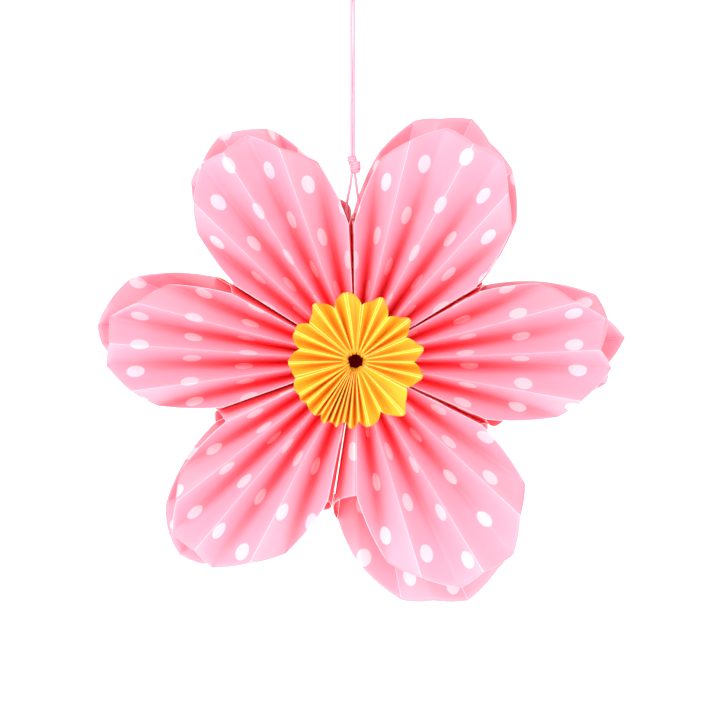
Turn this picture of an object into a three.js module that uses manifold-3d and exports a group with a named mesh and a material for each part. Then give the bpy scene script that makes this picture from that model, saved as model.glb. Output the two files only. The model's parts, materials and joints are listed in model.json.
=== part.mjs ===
// A folding paper flower lantern: six open petal pockets round a hub, hung on a doubled string.
//
// Frame: millimetres, +Z up. The origin is the inside top of the hanging loop, where a hook
// carries it. The flower hangs below in the XZ plane and its front faces -Y. Flower angles are
// in degrees, counter-clockwise from +X as seen from the front.
//
// Each petal is a pleated front fan and a pleated back fan joined by two side walls. The folds
// run straight out from the hub. Pleated paper keeps its panel width, so a fan's valleys get
// shallower as its folds spread apart towards the rim.
import * as THREE from 'three';
import { mergeVertices } from 'three/addons/utils/BufferGeometryUtils.js';
import Module from 'manifold-3d';

const wasm = await Module();
wasm.setup();

// --- Driving dimensions -------------------------------------------------------------------
const DROP = 237; // from the hook to the hub's axis
const HUB_X = 1.6; // the hub's axis lies a little to the right of the string
const FLOWER_DEPTH = 54; // front folds to back folds
const PANEL_WIDTH = 24; // of one pleat panel
const PANELS = 8; // in each fan: 5 mountain folds and 4 valley folds
// How far out the folds end at the front and at the back, from a petal's middle fold to its
// outermost. The even folds of these lists are mountains and the odd ones valleys.
const FRONT_REACH = [141.7, 144.6, 130, 117.7, 81];
const BACK_REACH = [156, 147.7, 143.6, 118.5, 89];
const INNER_RADIUS = 8; // where fans and walls begin
const FAN_THICKNESS = 0.5; // measured round the axis
const WALL_THICKNESS = 0.3;
const GAP = 0.3; // between neighbouring pieces
const WALL_SETBACK = 0.6; // from a fan's fold to the wall's edge, along the depth

const ROSETTE_FRONT = -36;
const ROSETTE_PANEL = 8;
const ROSETTE_THICKNESS = 0.35;
const ROSETTE_INNER = 6.2;
const ROSETTE_TIP = 39.5;
const ROSETTE_NOTCH = 34;
const PANELS_PER_SCALLOP = 4;

const HUB_OUTER = 5.3;
const HUB_INNER = 4.8;
const HUB_FRONT = -30;
const HUB_BACK = 27;

const CORD = 1.5; // the string's diameter
const CORD_SIDES = 8;
const HOLE_REACH = 81.5; // from the axis to the string hole
const HOLE_RADIUS = 1.6;
const LOOP_WIDTH = 8;
const TOP_KNOT = { centre: -22.7, radius: 2.6, halfHeight: 2.9 };
const LOWER_KNOT = { centre: -123, radius: 3.6, halfHeight: 5 };

// The angles of each petal: its glue lines with its neighbours, then the outermost folds of its
// front fan and of its back fan. Reach is how much longer or shorter the petal is.
const PETALS = [
  { glue: [-25.5, 30.8], front: [-25, 29.1], back: [-24, 30.2], reach: 0.8 },
  { glue: [30.8, 91.6], front: [31.6, 90.6], back: [32.2, 90.9], reach: 0 },
  { glue: [91.6, 148.1], front: [93, 148], back: [95.6, 147.2], reach: -0.3 },
  { glue: [148.1, 199.5], front: [151.5, 199.3], back: [149, 195.2], reach: -0.5 },
  { glue: [199.5, 260.4], front: [205.1, 258.8], back: [203.6, 257.8], reach: 0.6 },
  { glue: [261.8, 334.5], front: [270.4, 334.3], back: [263.6, 328], reach: -0.4 },
];

// The rosette's sections, each over one petal: where it begins and ends, and its scallops.
const ROSETTE = [
  { from: -27.5, to: 25, scallops: 2 },
  { from: 25, to: 83.5, scallops: 2 },
  { from: 83.5, to: 141, scallops: 2 },
  { from: 141, to: 195.5, scallops: 2 },
  { from: 195.5, to: 259, scallops: 3 },
  { from: 259, to: 332.5, scallops: 3 },
];

// --- Materials ----------------------------------------------------------------------------
const paper = (color) => new THREE.MeshStandardMaterial({ color, roughness: 0.5, metalness: 0 });
const PINK = '#f9a3b8';
const DEEP_PINK = '#ef7d97';
const YELLOW = '#ffc51f';
const RED = '#a3122c';
const PALE_PINK = '#f8cfe0';

// --- Helpers ------------------------------------------------------------------------------
const radians = THREE.MathUtils.degToRad;
const lerp = THREE.MathUtils.lerp;

/** A point at a radius and an angle, moved aside by a distance round the axis, at a depth. */
function polar(radius, angle, aside, depth) {
  const a = radians(angle);
  return new THREE.Vector3(
    radius * Math.cos(a) - aside * Math.sin(a),
    depth,
    radius * Math.sin(a) + aside * Math.cos(a),
  );
}

function signedVolume(points, faces) {
  return faces.reduce((sum, [a, b, c]) => sum + points[a].dot(points[b].clone().cross(points[c])) / 6, 0);
}

/** The triangles that fill a ring, wound the same way as the ring. */
function capFaces(ring) {
  const contour = ring.map((entry) => entry.flat);
  const way = Math.sign(THREE.ShapeUtils.area(contour));
  return THREE.ShapeUtils.triangulateShape(contour, []).map(([a, b, c]) => {
    const same = Math.sign(THREE.ShapeUtils.area([contour[a], contour[b], contour[c]])) === way;
    return same ? [a, b, c] : [a, c, b];
  });
}

/**
 * A closed sheet through a row of rings. Each ring point is { flat: Vector2, point: Vector3,
 * far }, where far marks the sheet's other side. A ring goes along the near side and back along
 * the far side, so the far side's diagonals are turned round to lie behind the near side's.
 */
function loft(rings) {
  const count = rings[0].length;
  const points = rings.flat().map((entry) => entry.point);
  const last = (rings.length - 1) * count;
  const faces = [];
  for (let first = 0; first < last; first += count) {
    rings[0].forEach(({ far }, i) => {
      const a = first + i;
      const b = first + ((i + 1) % count);
      if (far) faces.push([a, b, a + count], [b, b + count, a + count]);
      else faces.push([a, b, b + count], [a, b + count, a + count]);
    });
  }
  faces.push(...capFaces(rings[0]).map(([a, b, c]) => [a, c, b]));
  faces.push(...capFaces(rings[rings.length - 1]).map((face) => face.map((i) => i + last)));
  const outward = signedVolume(points, faces) > 0 ? faces : faces.map(([a, b, c]) => [a, c, b]);
  const geometry = new THREE.BufferGeometry().setFromPoints(points);
  geometry.setIndex(outward.flat());
  return geometry;
}

/** The solid that manifold-3d works on, with its shared corners merged. */
function toManifold(geometry) {
  const bare = geometry.clone();
  bare.deleteAttribute('normal');
  bare.deleteAttribute('uv');
  const merged = mergeVertices(bare, 1e-4);
  return new wasm.Manifold(new wasm.Mesh({
    numProp: 3,
    vertProperties: new Float32Array(merged.attributes.position.array),
    triVerts: new Uint32Array(merged.index.array),
  }));
}

function fromManifold(solid) {
  const mesh = solid.getMesh();
  const geometry = new THREE.BufferGeometry();
  geometry.setAttribute('position', new THREE.BufferAttribute(mesh.vertProperties, 3));
  geometry.setIndex(Array.from(mesh.triVerts));
  return geometry;
}

function named(name, geometry, color) {
  const mesh = new THREE.Mesh(geometry, paper(color));
  mesh.name = name;
  return mesh;
}

// --- Pleats -------------------------------------------------------------------------------
/**
 * One ring of a pleated sheet. columns[i] = { radius, angle, aside } is fold i, or the line
 * halfway between two folds; mountains are the even folds. front is the mountains' depth and
 * inward is +1 where the valleys lie further back, -1 where they lie further forward.
 */
function pleatRing(columns, spacing, sheet) {
  const { front, inward, panel, thickness } = sheet;
  const half = thickness / 2;
  const outer = [];
  const inner = [];
  columns.forEach((column, i) => {
    const drop = Math.sqrt(panel ** 2 - spacing(column.radius) ** 2);
    const miter = (half * drop) / spacing(column.radius);
    const add = (list, aside, depth) => {
      list.push({
        flat: new THREE.Vector2(i * panel + aside, depth),
        point: polar(column.radius, column.angle, column.aside + aside, front + inward * depth),
        far: list === inner,
      });
    };
    const phase = i % 4;
    if (phase === 0) {
      add(outer, -half, 0);
      add(outer, half, 0);
      if (i > 0 && i < columns.length - 1) add(inner, 0, miter);
    } else if (phase === 2) {
      add(outer, 0, drop - miter);
      add(inner, -half, drop);
      add(inner, half, drop);
    } else {
      const side = phase === 1 ? half : -half;
      add(outer, side, drop / 2);
      add(inner, -side, drop / 2);
    }
  });
  return [...outer, ...inner.reverse()];
}

/** A pleated sheet between two outer folds. reach(fold) is how far out each fold goes. */
function pleatedSheet(sheet) {
  const { edges, folds, insets, reach, start, stations } = sheet;
  const rings = stations.map((share) => {
    const columns = [];
    for (let i = 0; i <= 2 * folds; i += 1) {
      const fold = i / 2;
      const radius = lerp(start, reach(fold), share);
      const [first, last] = insets(radius);
      columns.push({
        radius,
        angle: lerp(edges[0], edges[1], fold / folds),
        aside: lerp(first, -last, fold / folds),
      });
    }
    const spacing = (radius) => {
      const [first, last] = insets(radius);
      return (radius * radians(edges[1] - edges[0]) - first - last) / folds;
    };
    return pleatRing(columns, spacing, sheet);
  });
  return loft(rings);
}

// --- Petals -------------------------------------------------------------------------------
const WALL_OFFSET = GAP / 2 + WALL_THICKNESS / 2; // of a wall's middle from the glue line
const FOLD_OFFSET = FAN_THICKNESS / 2 + GAP + WALL_THICKNESS / 2; // of a fan's fold from its wall

/** How far out a fan's edge is, at a fold counted from 0 to PANELS: straight between folds. */
function petalReach(petal, reaches, fold) {
  const fromMiddle = Math.abs(fold - PANELS / 2);
  const whole = Math.min(Math.floor(fromMiddle), PANELS / 2 - 1);
  return petal.reach + lerp(reaches[whole], reaches[whole + 1], fromMiddle - whole);
}

function petalFan(petal, face) {
  const edges = petal[face];
  const inward = face === 'front' ? 1 : -1;
  const front = (-inward * FLOWER_DEPTH) / 2;
  const clearance = WALL_OFFSET + FOLD_OFFSET;
  const inset = (radius, degrees) => Math.max(0, clearance - radius * radians(degrees));
  return pleatedSheet({
    edges,
    front,
    inward,
    folds: PANELS,
    panel: PANEL_WIDTH,
    thickness: FAN_THICKNESS,
    start: INNER_RADIUS,
    stations: [0, 0.35, 0.7, 1],
    insets: (radius) => [
      inset(radius, edges[0] - petal.glue[0]),
      inset(radius, petal.glue[1] - edges[1]),
    ],
    reach: (fold) => petalReach(petal, face === 'front' ? FRONT_REACH : BACK_REACH, fold),
  });
}

/** A side wall: a card from the front fan's outer fold, by the glue line, to the back fan's. */
function sideWall(petal, end) {
  const side = end === 0 ? 1 : -1;
  const edgeDepth = FLOWER_DEPTH / 2 - WALL_SETBACK;
  const spread = (face) => side * (petal[face][end] - petal.glue[end]);
  const offsetAt = (radius, degrees) => Math.max(WALL_OFFSET, radius * radians(degrees) - FOLD_OFFSET);
  const depths = [-edgeDepth, 0, edgeDepth];
  const spreads = [spread('front'), 0, spread('back')];
  const frontReach = petalReach(petal, FRONT_REACH, end * PANELS);
  const backReach = petalReach(petal, BACK_REACH, end * PANELS);
  const rings = [0, 0.3, 0.65, 1].map((share) => {
    const middle = depths.map((depth, i) => {
      const radius = lerp(INNER_RADIUS, lerp(frontReach, backReach, i / 2), share);
      return { radius, depth, offset: offsetAt(radius, spreads[i]) };
    });
    const entry = (place, aside) => ({
      flat: new THREE.Vector2(place.offset + aside, place.depth),
      point: polar(place.radius, petal.glue[end], side * (place.offset + aside), place.depth),
      far: aside > 0,
    });
    const near = middle.map((place) => entry(place, -WALL_THICKNESS / 2));
    const far = middle.map((place) => entry(place, WALL_THICKNESS / 2));
    return [...near, ...far.reverse()];
  });
  return loft(rings);
}

/** The tool that punches the string hole through the two glued walls at the top. */
function holePunch() {
  const punch = new THREE.CylinderGeometry(HOLE_RADIUS, HOLE_RADIUS, 12, 20);
  punch.rotateZ(Math.PI / 2);
  const hole = polar(HOLE_REACH, PETALS[1].glue[1], 0, 0);
  punch.translate(hole.x, hole.y, hole.z);
  return punch;
}

const HOLED = { petal_2: 1, petal_3: 0 }; // which end's wall the string goes through

function petalPieces(petal, index) {
  const name = `petal_${index + 1}`;
  const walls = ['start_wall', 'end_wall'].map((wall, end) => {
    const card = sideWall(petal, end);
    if (HOLED[name] !== end) return named(`${name}_${wall}`, card, DEEP_PINK);
    const punched = toManifold(card).subtract(toManifold(holePunch()));
    return named(`${name}_${wall}`, fromManifold(punched), DEEP_PINK);
  });
  return [
    named(`${name}_front_fan`, petalFan(petal, 'front'), PINK),
    named(`${name}_back_fan`, petalFan(petal, 'back'), PINK),
    ...walls,
  ];
}

// --- Rosette, hub and closure -------------------------------------------------------------
function rosetteSection({ from, to, scallops }) {
  const folds = scallops * PANELS_PER_SCALLOP;
  const inset = ROSETTE_THICKNESS / 2 + GAP / 2;
  return pleatedSheet({
    edges: [from, to],
    front: ROSETTE_FRONT,
    inward: 1,
    folds,
    panel: ROSETTE_PANEL,
    thickness: ROSETTE_THICKNESS,
    start: ROSETTE_INNER,
    stations: [0, 0.5, 1],
    insets: () => [inset, inset],
    reach: (fold) => {
      const inScallop = (fold % PANELS_PER_SCALLOP) / PANELS_PER_SCALLOP;
      return lerp(ROSETTE_NOTCH, ROSETTE_TIP, Math.sin(Math.PI * inScallop) ** 0.7);
    },
  });
}

/** The rolled paper core, open at the front and closed at the back. */
function hubCore() {
  const floor = HUB_BACK - (HUB_OUTER - HUB_INNER);
  const profile = [
    new THREE.Vector2(0, HUB_BACK),
    new THREE.Vector2(HUB_OUTER, HUB_BACK),
    new THREE.Vector2(HUB_OUTER, HUB_FRONT),
    new THREE.Vector2(HUB_INNER, HUB_FRONT),
    new THREE.Vector2(HUB_INNER, floor),
    new THREE.Vector2(0, floor),
  ];
  return new THREE.LatheGeometry(profile.reverse(), 24);
}

/** The adhesive tab that holds the first and last walls together and sticks out between them. */
function closureTab() {
  const [left, right] = [PETALS[4].glue[1], PETALS[5].glue[0]];
  const tab = new THREE.BoxGeometry(9, 8, 1.1);
  const middle = polar(82.5, (left + right) / 2, 0, 0);
  tab.rotateY(radians(-(left + right) / 2));
  return tab.translate(middle.x, middle.y, middle.z);
}

// --- String -------------------------------------------------------------------------------
/** A plain tube of string through the points of its route, with a step every few diameters. */
function cordTube(route) {
  const curve = new THREE.CatmullRomCurve3(route.map((p) => new THREE.Vector3(...p)));
  const section = new THREE.Shape(
    Array.from({ length: CORD_SIDES }, (_, i) => {
      const a = (2 * Math.PI * i) / CORD_SIDES;
      return new THREE.Vector2((CORD / 2) * Math.cos(a), (CORD / 2) * Math.sin(a));
    }),
  );
  const steps = Math.ceil(curve.getLength() / (2 * CORD));
  return new THREE.ExtrudeGeometry(section, { steps, extrudePath: curve, bevelEnabled: false });
}

/** A knot's outer shape: an upright ellipsoid. */
function knot({ centre, radius, halfHeight }) {
  const shape = new THREE.SphereGeometry(radius, 16, 10);
  shape.scale(1, 1, halfHeight / radius);
  return shape.translate(0, 0, centre);
}

const BESIDE = CORD / 2 + GAP / 2; // half the distance between the two strands' middles
const HOLE_Z = -DROP + HOLE_REACH * Math.sin(radians(PETALS[1].glue[1])) + 0.5;

// The loop that a hook carries: up from the top knot, over, and back down.
const LOOP_ROUTE = [
  [-BESIDE, 0, -19.3],
  [-1.6, 0, -17],
  [-3.1, 0, -12.5],
  [-LOOP_WIDTH / 2, 0, -7],
  [-LOOP_WIDTH / 2 + 0.2, 0, -3],
  [-2.2, 0, -0.2],
  [0, 0, CORD / 2],
  [2.2, 0, -0.2],
  [LOOP_WIDTH / 2 - 0.2, 0, -3],
  [LOOP_WIDTH / 2, 0, -7],
  [3.1, 0, -12.5],
  [1.6, 0, -17],
  [BESIDE, 0, -19.3],
];

// The two strands between the knots, side by side.
const LEFT_STRAND_ROUTE = [
  [-BESIDE, 0, -26],
  [-BESIDE - 0.1, 0, -45],
  [-BESIDE, 0, -70],
  [-BESIDE - 0.15, 0, -95],
  [-BESIDE, 0, -117.4],
];
const RIGHT_STRAND_ROUTE = [
  [BESIDE, 0, -26],
  [BESIDE + 0.15, 0, -45],
  [BESIDE, 0, -70],
  [BESIDE + 0.1, 0, -95],
  [BESIDE, 0, -117.4],
];

// The loop that carries the flower: from the lower knot, through the hole, and back up.
const CARRYING_ROUTE = [
  [-BESIDE + 0.3, 0, -128.7],
  [-1.0, 0, -132.5],
  [-1.9, 0, -137.5],
  [-2.8, 0, -142],
  [-3.5, 0, -147],
  [-3.7, 0, -151],
  [-2.9, 0, HOLE_Z + 1.3],
  [-0.6, 0, HOLE_Z],
  [1.7, 0, HOLE_Z + 1.3],
  [2.9, 0, -151],
  [3.3, 0, -147],
  [3.0, 0, -142],
  [2.4, 0, -137.5],
  [1.8, 0, -132.5],
  [BESIDE + 0.3, 0, -128.7],
];

// --- Assembly -----------------------------------------------------------------------------
const flower = new THREE.Group();
flower.position.set(HUB_X, 0, -DROP);
PETALS.forEach((petal, index) => flower.add(...petalPieces(petal, index)));
ROSETTE.forEach((section, index) => {
  flower.add(named(`rosette_${index + 1}`, rosetteSection(section), YELLOW));
});
flower.add(named('hub_core', hubCore(), RED));
flower.add(named('closure_tab', closureTab(), PALE_PINK));

const string = new THREE.Group();
string.add(named('hanging_loop', cordTube(LOOP_ROUTE), PALE_PINK));
string.add(named('top_knot', knot(TOP_KNOT), PALE_PINK));
string.add(named('left_strand', cordTube(LEFT_STRAND_ROUTE), PALE_PINK));
string.add(named('right_strand', cordTube(RIGHT_STRAND_ROUTE), PALE_PINK));
string.add(named('lower_knot', knot(LOWER_KNOT), PALE_PINK));
string.add(named('carrying_loop', cordTube(CARRYING_ROUTE), PALE_PINK));

const group = new THREE.Group();
group.add(flower, string);

export default group;
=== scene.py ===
"""A folding paper flower lantern on a doubled string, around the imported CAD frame.

Metres, in the frame of the CAD model: the origin is where a hook carries the hanging loop, +Z is
up and the flower's front faces -Y. Angles are in degrees, counter-clockwise from +X as seen from
the front. A fan is laid out by its folds, counted across the petal from 0, and by its stations,
from the hub (0) to the cut edge (1).
"""
import json
import math

import bmesh
import bpy
import numpy as np
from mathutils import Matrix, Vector


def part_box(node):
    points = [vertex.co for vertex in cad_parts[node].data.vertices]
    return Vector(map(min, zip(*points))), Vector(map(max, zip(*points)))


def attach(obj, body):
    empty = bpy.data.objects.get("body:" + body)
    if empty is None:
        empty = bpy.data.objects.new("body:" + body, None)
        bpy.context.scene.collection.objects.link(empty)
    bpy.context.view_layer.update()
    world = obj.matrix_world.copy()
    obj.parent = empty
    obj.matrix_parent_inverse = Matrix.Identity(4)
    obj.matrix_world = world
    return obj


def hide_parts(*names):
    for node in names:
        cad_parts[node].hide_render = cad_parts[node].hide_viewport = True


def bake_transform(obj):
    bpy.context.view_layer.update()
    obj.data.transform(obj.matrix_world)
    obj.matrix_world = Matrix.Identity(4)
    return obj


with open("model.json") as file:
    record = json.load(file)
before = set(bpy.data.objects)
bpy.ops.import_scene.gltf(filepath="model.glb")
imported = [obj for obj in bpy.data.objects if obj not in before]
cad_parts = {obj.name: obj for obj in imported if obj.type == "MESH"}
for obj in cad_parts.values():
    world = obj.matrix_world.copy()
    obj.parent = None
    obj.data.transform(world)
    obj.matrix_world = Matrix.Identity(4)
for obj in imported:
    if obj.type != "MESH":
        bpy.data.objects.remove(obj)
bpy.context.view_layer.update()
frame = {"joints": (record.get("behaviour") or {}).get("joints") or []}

MM = 0.001
rng = np.random.default_rng(7)


def joint_position(name):
    found = [joint for joint in frame["joints"] if joint["name"] == name]
    return Vector(found[0]["pos_m"])


# --- Dimensions -------------------------------------------------------------------------------
HUB = joint_position("fold_right_1")
HOLE = joint_position("flower_tilt")
FRONT_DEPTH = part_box("petal_1_front_fan")[0].y
BACK_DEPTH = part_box("petal_1_back_fan")[1].y

PANELS = 8  # in each fan: its even folds are mountains and its odd ones valleys
PANEL_WIDTH = 24 * MM
FRONT_REACH = (81, 117.7, 130, 144.6, 141.7, 144.6, 130, 117.7, 81)  # of each fold, in mm
BACK_REACH = (89, 118.5, 143.6, 147.7, 156, 147.7, 143.6, 118.5, 89)
NO_CHANGE = (0,) * 9
LONGER = {  # how much longer each fold of some fans is than its usual reach, in mm
    (1, "front"): (0, 3, 0.5, 2.5, -2, 2.3, 0, 0, 0),
    (1, "back"): (1.5, -3, 1.4, -2.7, 0, -1.6, 0, -2, -3),
    (2, "front"): (0, 0, 0, 0, 0, 0, 0, 0, -2.8),
    (2, "back"): (-3, 4, 0, 0, 0, 0, 0, 2, -4),
    (3, "front"): (-2.3, 0, 0, 0, 0, 0, 0, 0, 0),
    (3, "back"): (6.8, 0, -2.6, -2, -0.9, 0, 0, 0, -3),
    (4, "back"): (7.4, 2.6, -2.4, 0.8, -2.5, 0.7, -8, -3, 0),
    (5, "back"): (0, -3.5, -4, 0, -3, 0, -12, -5, 0),
    (6, "front"): (-4.4, 0, 0, 0, 0, 0, 0, 3.6, 0),
    (6, "back"): (5, 0, 0, 0, 0, 0, 0, 0, 0),
}
PETAL_REACH = 149 * MM  # where what changes along a fold, such as its colour, stops changing
PANEL_BULGE = 0.4 * MM  # of a panel's cut edge, past a straight line between its folds
PLEAT_ROUNDNESS = 0.4  # 0 is a sharp valley and 1 a round one
FOLD_SINKING = 0.5 * MM  # how unevenly deep the folds lie
LEANING_RADIUS = 60 * MM  # from here out a fold leans fully
INNER_RADIUS = 6.6 * MM  # where the fans begin
PAPER = 0.22 * MM
WALL_PAPER = 0.2 * MM
WALL_START = 8 * MM  # where the walls begin
WALL_OFFSET = 0.105 * MM  # of a wall's middle from its glue line
FOLD_OFFSET = 0.32 * MM  # of a fan's outermost fold from its wall
WALL_SETBACK = 0.3 * MM  # of a wall's edges from the front and back folds
WALL_CLING = 2.2  # the higher, the nearer to its edges a wall keeps to the glue line
TIGHT_SPREAD = 1.5  # a wall that leaves its glue line by less than this lies in a slit, with its painted shade,
TIGHT_RANGE = 5  # and by this much more it is out of it, both in degrees
HOLE_RADIUS = 1.6 * MM
HOLE_SHIFT = Vector((0, 0, 0.5 * MM))  # of the hole down from the axis that the flower tilts on

DOT_PITCH = 31.3 * MM
DOT_OUTSIDE = 5.5 * MM
DOT_INSIDE = 5.1 * MM
PRINT_SHIFT = 3 * MM  # how much farther out the print lies on a petal's sides,
PRINT_SHIFT_FOLDS = 1.2  # which begin this many folds from its middle
WALL_DOT_ACROSS = 7 * MM
WALL_DOT_ALONG = 60  # in mm, before the next value is added once for each petal's number
WALL_DOT_STEP = 9
HIGHLIGHT_WIDTH = 9 * MM  # of the painted highlight, a paler strip beside a mountain fold
HIGHLIGHT_AT_HUB = 1.3  # how strong the painted highlight is at the hub,
HIGHLIGHT_FADE = 0.8  # and how much less at the cut edge

ROSETTE_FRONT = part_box("rosette_1")[0].y
ROSETTE_PANEL = 8 * MM
ROSETTE_TIP = 39.5 * MM
ROSETTE_INNER = 4.9 * MM
ROSETTE_PAPER = 0.2 * MM
ROSETTE_ROUNDNESS = 0.35
ROSETTE_FLAT = 1 / 6  # the share of each panel that is pressed flat beside a mountain fold
SECTION_INSET = 0.06 * MM  # of a section's sides from the next sections

CORD = 1.5 * MM
KNOT_CORD = 1.85 * MM  # drawn a little thicker, so that the wraps fill each knot out

# Each petal: its glue lines, the outermost folds of its front and back fans, how far each fold of
# its front fan (lean) and its back fan (back_lean) leans from even spacing, how much longer its
# front and back fans are, the bodies of its first and last walls, and where its print sits on each
# fan: whether the rows of dots run along the folds, then the place of one dot across and along the
# paper.
PETALS = [
    dict(glue=(-25.5, 30.8), front=(-24, 29.1), back=(-22, 30.2), reach=(0.8, 3.0),
         lean=(0, 2, 0.6, 2.5, 0, 0, -1, -0.2, 0),
         back_lean=(0, 2.5, 3.9, 2.2, 0.9, -1.2, -1.7, -1, 0),
         bodies=("right_leaf_2", "right_leaf_1"),
         front_print=(False, 6, 125.5), back_print=(False, 11.6, 134.8)),
    dict(glue=(30.8, 91.6), front=(31.6, 90.6), back=(32.2, 90.9), reach=(0, 2.0),
         lean=(0, 1.2, 1.3, 0.5, 0.4, 0, 0.2, -0.3, 0),
         back_lean=(0, 1.5, 3.9, 4.2, 2.7, 2, 0, 0, 0),
         bodies=("right_leaf_1", "top_leaf"),
         front_print=(True, 0, 133), back_print=(True, 8, 141)),
    dict(glue=(91.6, 148.1), front=(93, 148), back=(95.6, 147.2), reach=(-0.3, -0.3),
         lean=(0, 0.9, 3, 2, 2, 0.5, 1.5, 0, 0),
         back_lean=(0, 0, 0, -3.6, -0.6, -1, -1.8, -1, 0),
         bodies=("top_leaf", "left_leaf_1"),
         front_print=(True, 2, 133.5), back_print=(True, -33.6, 139.7)),
    dict(glue=(148.1, 199.5), front=(151.5, 199.3), back=(149, 195.2), reach=(-0.5, -0.5),
         lean=(0, 0.3, 1.7, 0.4, 0.5, -0.4, 0.3, -0.6, 0),
         back_lean=(0, 0, -0.9, 0.7, 0, -1.7, -1, 0, 0),
         bodies=("left_leaf_1", "left_leaf_2"),
         front_print=(False, -1, 124), back_print=(False, -15.6, 133)),
    dict(glue=(199.5, 260.6), front=(205.1, 258.8), back=(203.6, 257.8), reach=(0.6, 0.6),
         lean=(0, 0, -0.4, -1.9, -2.3, -3.4, -3, -2, 0),
         back_lean=(0, 0, 0, -1, -3, -4.6, -4, -2, 0),
         bodies=("left_leaf_2", "left_end"),
         front_print=(False, 6.5, 124.5), back_print=(False, 4, 137)),
    dict(glue=(261.3, 334.5), front=(270.4, 333.2), back=(263.6, 328), reach=(-0.4, -0.4),
         lean=(0, 0.7, 0.9, 1, -0.5, -0.5, -0.7, -1.2, 0),
         back_lean=(0, -0.7, 1.2, 0.3, -0.6, 0.5, -0.8, 0, 0),
         bodies=("right_end", "right_leaf_2"),
         front_print=(True, -7, 130.5), back_print=(True, -6, 143)),
]

# Each rosette section: where it begins and ends, the tips of its scallops, and how far out each
# notch before, between and after them is, in mm.
ROSETTE = [
    dict(span=(-27.5, 25), tips=(-12, 9.5), notches=(32.9, 32.6, 31.8)),
    dict(span=(25, 83.5), tips=(38, 67.5), notches=(31.8, 31, 32.2)),
    dict(span=(83.5, 141), tips=(99.5, 125.5), notches=(32.2, 31.5, 33.7)),
    dict(span=(141, 195.5), tips=(155.5, 181.5), notches=(33.7, 32.5, 35.5)),
    dict(span=(195.5, 259), tips=(211, 232, 243, 253.5), notches=(35.5, 36.5, 36, 36, 35.5)),
    dict(span=(259, 332.5), tips=(265, 282, 311), notches=(35.5, 33.2, 32.5, 32.9)),
]

# --- Camera -----------------------------------------------------------------------------------
CAMERA_DISTANCE = 2.0
CAMERA_ASIDE = 2.6 * MM  # of the picture's middle from the hub
CAMERA_ABOVE = 0.6 * MM
VIEW_WIDTH = 0.4176
SENSOR = 36.0


def make_camera():
    data = bpy.data.cameras.new("camera")
    data.sensor_width = SENSOR
    data.lens = SENSOR * CAMERA_DISTANCE / VIEW_WIDTH
    camera = bpy.data.objects.new("camera", data)
    camera.location = (HUB.x + CAMERA_ASIDE, -CAMERA_DISTANCE, HUB.z + CAMERA_ABOVE)
    camera.rotation_euler = (math.radians(90), 0, 0)
    bpy.context.collection.objects.link(camera)
    bpy.context.scene.camera = camera


# --- Node materials ---------------------------------------------------------------------------
class Nodes:
    """A material's node tree, with short calls to add and link nodes."""

    def __init__(self, name):
        self.material = bpy.data.materials.new(name)
        self.material.use_nodes = True
        self.tree = self.material.node_tree
        self.shader = self.tree.nodes["Principled BSDF"]

    def add(self, kind, **settings):
        node = self.tree.nodes.new(kind)
        inputs = settings.pop("inputs", {})
        for key, value in settings.items():
            setattr(node, key, value)
        for key, value in inputs.items():
            self.feed(node.inputs[key], value)
        return node

    def feed(self, socket, value):
        if isinstance(value, bpy.types.NodeSocket):
            self.tree.links.new(value, socket)
        else:
            socket.default_value = value

    def math(self, operation, a, b=0.0, clamp=False):
        node = self.add("ShaderNodeMath", operation=operation, use_clamp=clamp)
        self.feed(node.inputs[0], a)
        self.feed(node.inputs[1], b)
        return node.outputs[0]

    def vector(self, operation, *values, output=0):
        node = self.add("ShaderNodeVectorMath", operation=operation)
        for socket, value in zip(node.inputs, values):
            self.feed(socket, value)
        return node.outputs[output]

    def ramp(self, value, low, high):
        """0 at low and below, 1 at high and above, smooth between."""
        node = self.add("ShaderNodeMapRange", interpolation_type="SMOOTHSTEP")
        self.feed(node.inputs["Value"], value)
        self.feed(node.inputs["From Min"], low)
        self.feed(node.inputs["From Max"], high)
        return node.outputs["Result"]

    def mix(self, share, a, b):
        node = self.add("ShaderNodeMix", data_type="RGBA")
        self.feed(node.inputs["Factor"], share)
        self.feed(node.inputs["A"], a)
        self.feed(node.inputs["B"], b)
        return node.outputs["Result"]

    def noise(self, scale, detail=2.0, stretch=None, coordinates=None):
        coordinates = coordinates or self.add("ShaderNodeTexCoord").outputs["Object"]
        if stretch:
            coordinates = self.vector("MULTIPLY", coordinates, stretch)
        return self.add(
            "ShaderNodeTexNoise", inputs={"Vector": coordinates, "Scale": scale, "Detail": detail}
        ).outputs["Fac"]

    def bump(self, height, strength, distance):
        node = self.add("ShaderNodeBump", inputs={"Strength": strength, "Distance": distance})
        self.feed(node.inputs["Height"], height)
        self.feed(self.shader.inputs["Normal"], node.outputs["Normal"])


def linear(red, green, blue):
    """A colour given as it looks on screen, in the linear values that a shader takes."""
    shown = (red, green, blue)
    values = (((c + 0.055) / 1.055) ** 2.4 if c > 0.04 else c / 12.92 for c in shown)
    return (*values, 1.0)


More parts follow.
